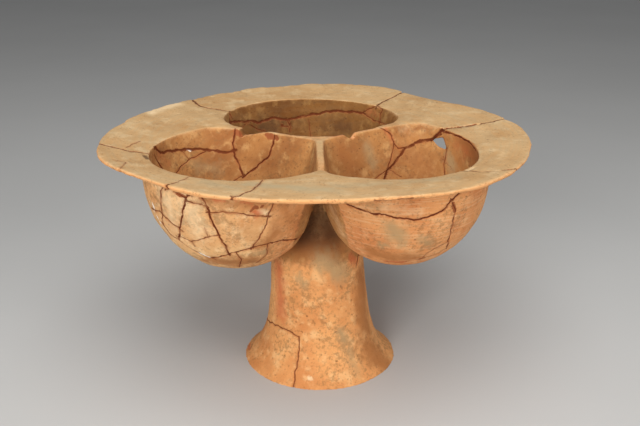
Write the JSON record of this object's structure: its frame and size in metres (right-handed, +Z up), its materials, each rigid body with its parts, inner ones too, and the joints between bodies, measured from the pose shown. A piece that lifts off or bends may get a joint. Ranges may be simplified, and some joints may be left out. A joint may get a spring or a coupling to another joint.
{
  "type": "joined cup vessel",
  "caption": "Reassembled pottery vessel with joined bowls open under one broad brim, standing on a flared hollow pedestal foot.",
  "frame": {"origin": "middle of the brim's outline in plan, at the level that the foot ring stands on", "axes": "+Z up; +Y towards the rear bowl, so that -Y faces the side that the picture shows, with the other two bowls at the left (-X) and right (+X) of the front"},
  "size_m": [0.3796, 0.3772, 0.2235],
  "materials": {
    "fired_clay": "matt unglazed orange pottery with worn surface and darker repaired cracks"
  },
  "bodies": {
    "root": {"joined_cup_vessel": "fired_clay"}
  },
  "joints": []
}
